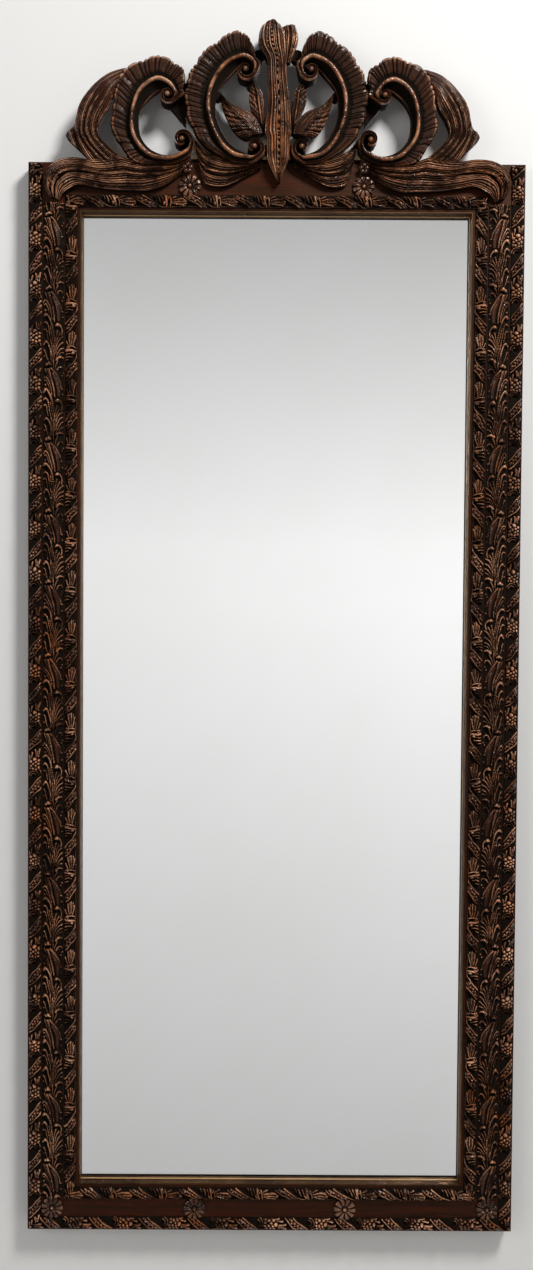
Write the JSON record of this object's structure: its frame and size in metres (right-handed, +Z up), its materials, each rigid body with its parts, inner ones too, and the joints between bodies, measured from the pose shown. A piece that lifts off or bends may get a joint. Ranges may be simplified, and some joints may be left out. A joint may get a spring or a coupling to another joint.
{
  "type": "wall mirror",
  "caption": "Tall wall mirror in a dark carved wood frame with ribbon mouldings, leaf bands, a gilt slip and a pierced scroll crest.",
  "frame": {"origin": "middle of the frame's foot edge, in the wall plane that the back of the timbers lies on", "axes": "+Z up, +X to the right seen from the front, the mirror faces -Y"},
  "size_m": [0.715, 0.0598, 1.757],
  "materials": {
    "carved_wood": "dark stain with rubbed copper highlights, satin",
    "plain_wood": "red-brown stain, satin",
    "gilt_slip": "antique gilt, satin",
    "mirror": "polished",
    "hardboard": "matt",
    "bare_beech": "bare",
    "point_steel": "satin",
    "hanger_steel": "zinc plated, satin"
  },
  "bodies": {
    "mirror": {"stile_left": "plain_wood", "stile_right": "plain_wood", "rail_top": "plain_wood", "rail_bottom": "plain_wood", "outer_ribbon_left": "carved_wood", "outer_ribbon_right": "carved_wood", "outer_ribbon_bottom": "carved_wood", "outer_ribbon_top_left": "carved_wood", "outer_ribbon_top_right": "carved_wood", "inner_ribbon_left": "carved_wood", "inner_ribbon_right": "carved_wood", "inner_ribbon_top": "carved_wood", "inner_ribbon_bottom": "carved_wood", "leaf_band_left": "carved_wood", "leaf_band_right": "carved_wood", "slip_left": "gilt_slip", "slip_right": "gilt_slip", "slip_top": "gilt_slip", "slip_bottom": "gilt_slip", "rosette_top_left": "carved_wood", "rosette_top_right": "carved_wood", "rosette_bottom_left": "carved_wood", "rosette_bottom_right": "carved_wood", "rosette_corner_left": "carved_wood", "rosette_corner_right": "carved_wood", "mirror_glass": "mirror", "backing_board": "hardboard", "glazing_points": "point_steel", "corner_biscuits": "bare_beech", "crest_board": "carved_wood", "crest_dowels": "bare_beech", "crest_glue_blocks": "bare_beech", "centre_leaf": "carved_wood", "centre_curl": "carved_wood", "inner_scroll_left": "carved_wood", "inner_scroll_right": "carved_wood", "outer_scroll_left": "carved_wood", "outer_scroll_right": "carved_wood", "inner_leaf_left": "carved_wood", "inner_leaf_right": "carved_wood", "plume_leaf_left": "carved_wood", "plume_leaf_right": "carved_wood", "wing_left": "carved_wood", "wing_right": "carved_wood", "foot_leaf_left": "carved_wood", "foot_leaf_right": "carved_wood", "inner_base_leaf_left": "carved_wood", "inner_base_leaf_right": "carved_wood", "outer_base_leaf_left": "carved_wood", "outer_base_leaf_right": "carved_wood", "hanger_strap_left": "hanger_steel", "hanger_strap_right": "hanger_steel", "strap_screws": "hanger_steel"},
    "ring_left": {"hanger_ring_left": "hanger_steel"},
    "ring_right": {"hanger_ring_right": "hanger_steel"}
  },
  "joints": [
    {"name": "ring_left_swing", "type": "hinge", "parent": "mirror", "child": "ring_left", "pos_m": [-0.3265, -0.00338, 1.25], "axis": [1, 0, 0], "range_deg": [0, 180]},
    {"name": "ring_right_swing", "type": "hinge", "parent": "mirror", "child": "ring_right", "pos_m": [0.3265, -0.00338, 1.25], "axis": [1, 0, 0], "range_deg": [0, 180]}
  ]
}
